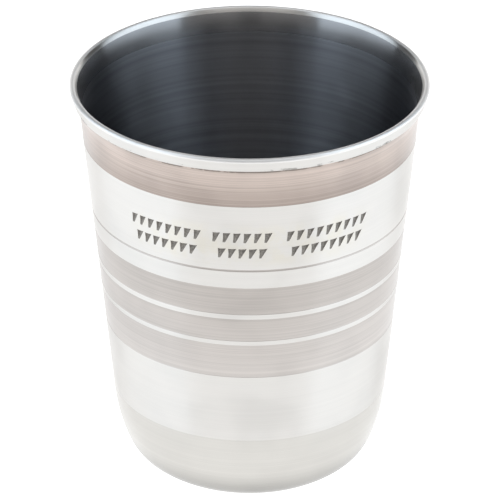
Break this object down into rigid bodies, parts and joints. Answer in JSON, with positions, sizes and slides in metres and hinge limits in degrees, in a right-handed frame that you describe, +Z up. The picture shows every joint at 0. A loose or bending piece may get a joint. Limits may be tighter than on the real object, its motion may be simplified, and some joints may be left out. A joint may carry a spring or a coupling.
{
  "type": "kiddush cup",
  "caption": "Small tumbler spun from steel sheet, with a rounded foot, a tapering wall, a flared and hemmed lip, and groups of shallow chisel strokes on its upper band.",
  "frame": {"origin": "middle of the underside of the foot", "axes": "+Z up along the cup's own axis, +X to the right; the front, with the chisel strokes, faces -Y"},
  "size_m": [0.0676, 0.0676, 0.08],
  "materials": {
    "steel": "turned stainless steel, in polished and satin bands"
  },
  "bodies": {
    "root": {"cup": "steel"}
  },
  "joints": []
}
